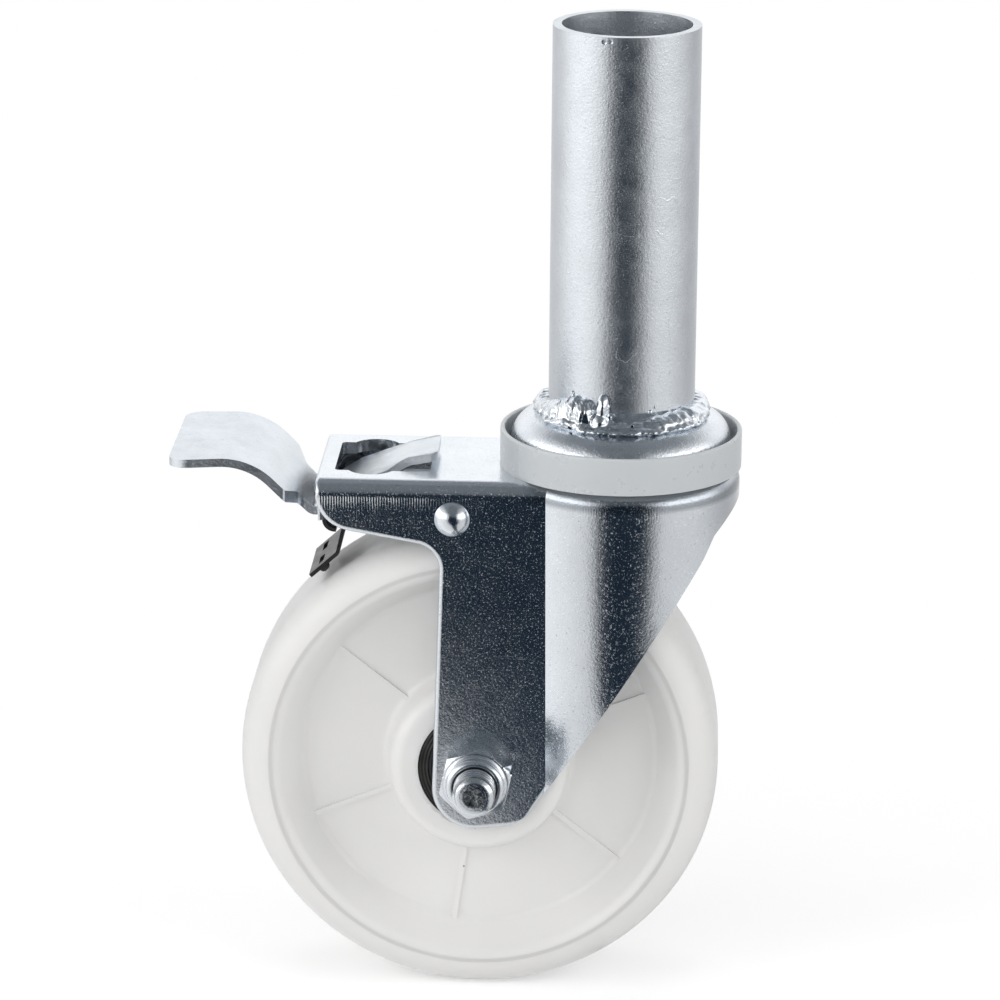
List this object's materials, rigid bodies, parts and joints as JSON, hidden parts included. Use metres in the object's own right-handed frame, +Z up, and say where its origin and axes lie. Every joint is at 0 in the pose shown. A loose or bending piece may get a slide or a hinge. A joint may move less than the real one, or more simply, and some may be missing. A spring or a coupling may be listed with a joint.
{
  "type": "scaffold castor",
  "caption": "Scaffold castor: straight tube stem on a ball-bearing swivel head, pressed fork, solid moulded wheel, and a foot lever that locks wheel and swivel together.",
  "frame": {"origin": "on the swivel axis, at the head cap's top face, where the stem tube stands and its bore ends", "axes": "+Z up along the stem and swivel axis, -X towards the nose and the pedal, Y along the wheel's axle"},
  "size_m": [0.1876, 0.0926, 0.3278],
  "materials": {
    "zinc_tube": "bright zinc plating with a fine grain",
    "zinc_cap": "bright zinc plating on a pressed cap",
    "zinc_fork": "bright zinc plating on a pressing",
    "zinc_lever": "satin zinc plating on a pressing",
    "zinc_rivet": "bright zinc plating, turned head",
    "zinc_nut": "bright zinc plating",
    "zinc_bolt": "bright zinc plating",
    "zinc_small_parts": "zinc plating",
    "weld_metal": "lumpy weld, plated over",
    "bearing_steel": "ground bearing steel",
    "white_nylon": "white moulded nylon, soft gloss",
    "natural_nylon": "uncoloured nylon, a little translucent",
    "nut_insert_nylon": "dark nylon ring",
    "seal_rubber": "black rubber seal",
    "pad_rubber": "black rubber stud",
    "spring_steel": "blackened spring steel"
  },
  "bodies": {
    "stem": {"stem_tube": "zinc_tube", "weld_bead": "weld_metal", "head_cap": "zinc_cap", "kingpin": "zinc_small_parts", "kingpin_nut": "zinc_small_parts", "lower_race": "zinc_small_parts"},
    "fork": {"fork": "zinc_fork", "dust_ring": "natural_nylon", "upper_balls": "bearing_steel", "lower_balls": "bearing_steel", "cross_rivet": "zinc_rivet", "axle_bolt": "zinc_bolt", "axle_nut": "zinc_nut", "nut_insert": "nut_insert_nylon", "axle_sleeve": "zinc_small_parts", "distance_tube": "zinc_small_parts", "near_hub_spacer": "zinc_small_parts", "far_hub_spacer": "zinc_small_parts", "near_bearing_inner_ring": "bearing_steel", "far_bearing_inner_ring": "bearing_steel", "pivot_pins": "zinc_small_parts"},
    "wheel": {"wheel": "white_nylon", "near_bearing_outer_ring": "bearing_steel", "far_bearing_outer_ring": "bearing_steel", "near_bearing_balls": "bearing_steel", "far_bearing_balls": "bearing_steel", "near_bearing_seals": "seal_rubber", "far_bearing_seals": "seal_rubber"},
    "brake": {"brake_lever": "zinc_lever", "brake_blade": "spring_steel", "brake_pad": "pad_rubber", "blade_pin": "spring_steel"},
    "lock": {"lock_bar": "zinc_small_parts"}
  },
  "joints": [
    {"name": "swivel", "type": "hinge", "parent": "stem", "child": "fork", "pos_m": [0, 0, 0], "axis": [0, 0, 1], "continuous": true},
    {"name": "wheel_spin", "type": "hinge", "parent": "fork", "child": "wheel", "pos_m": [-0.0456, 0, -0.1178], "axis": [0, 1, 0], "continuous": true},
    {"name": "brake_pedal", "type": "hinge", "parent": "fork", "child": "brake", "pos_m": [-0.0908, 0, -0.0272], "axis": [0, -1, 0], "range_deg": [0, 5.5]},
    {"name": "lock_slide", "type": "slide", "parent": "fork", "child": "lock", "axis": [1, 0, 0], "range_m": [0, 0.00094]}
  ],
  "couplings": [
    {"joint": "lock_slide", "follows": "brake_pedal", "m_per_rad": 0.0097}
  ]
}
